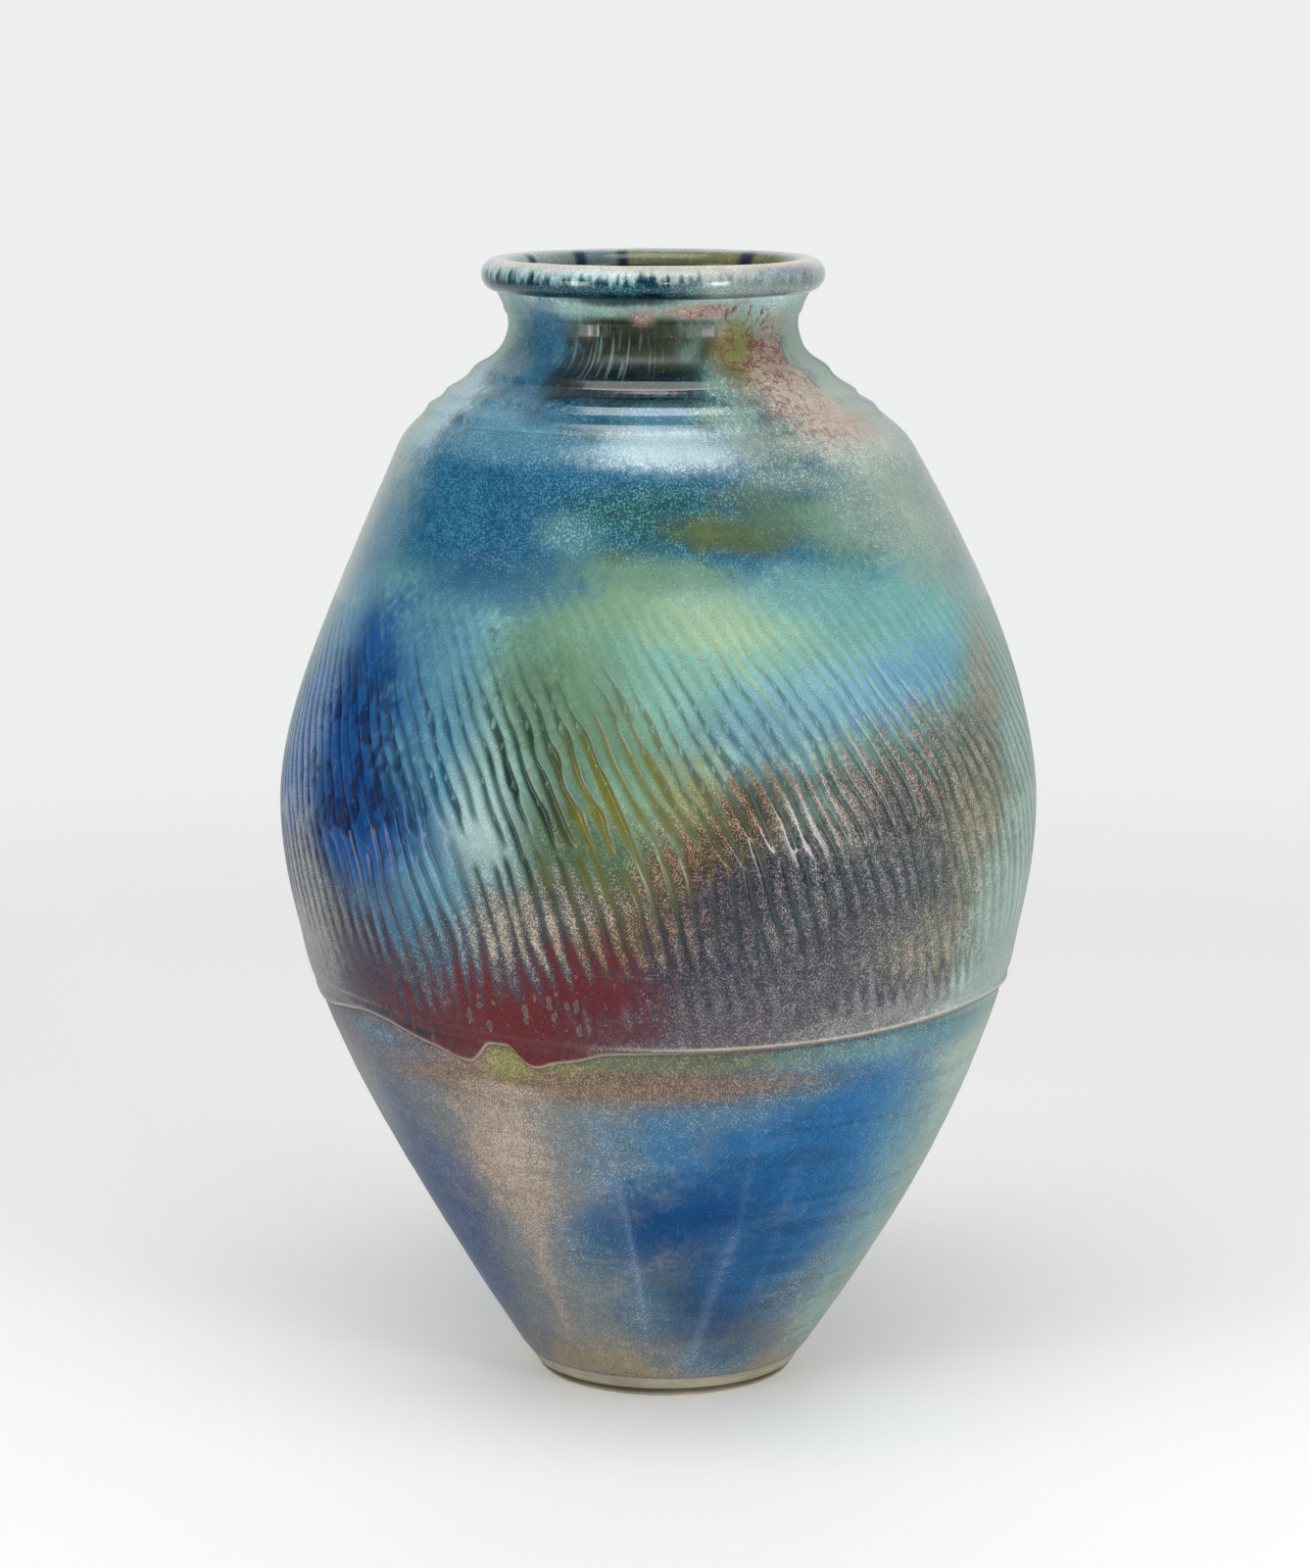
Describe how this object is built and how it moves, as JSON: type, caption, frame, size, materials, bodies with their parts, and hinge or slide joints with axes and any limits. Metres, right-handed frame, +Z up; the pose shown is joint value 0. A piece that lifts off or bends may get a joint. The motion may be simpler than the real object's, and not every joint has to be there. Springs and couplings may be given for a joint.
{
  "type": "stoneware pottery vase",
  "caption": "Tall wheel-thrown stoneware vase with a narrow foot, swelling fluted belly, low join ridge, short ringed neck, rolled lip and mottled blue, green and red glaze.",
  "frame": {"origin": "centre of the resting face, under the foot", "axes": "+Z up along the vase's axis of turning, through the middle of the mouth; the side shown as the front faces -Y, and +X is to its right"},
  "size_m": [0.3095, 0.3094, 0.46],
  "materials": {
    "bare_foot": "satin",
    "stoneware": "matte",
    "liner_glaze": "gloss",
    "lower_glaze": "satin",
    "upper_glaze": "gloss",
    "neck_glaze": "gloss",
    "rim_glaze": "gloss"
  },
  "bodies": {
    "root": {"foot": "bare_foot", "lower_wall": "stoneware", "join_bead": "stoneware", "belly_wall": "stoneware", "shoulder_wall": "stoneware", "neck_collar": "stoneware", "rim_roll": "stoneware", "liner_glaze": "liner_glaze", "lower_glaze": "lower_glaze", "belly_glaze": "upper_glaze", "shoulder_glaze": "upper_glaze", "neck_glaze": "neck_glaze", "rim_glaze": "rim_glaze"}
  },
  "joints": []
}
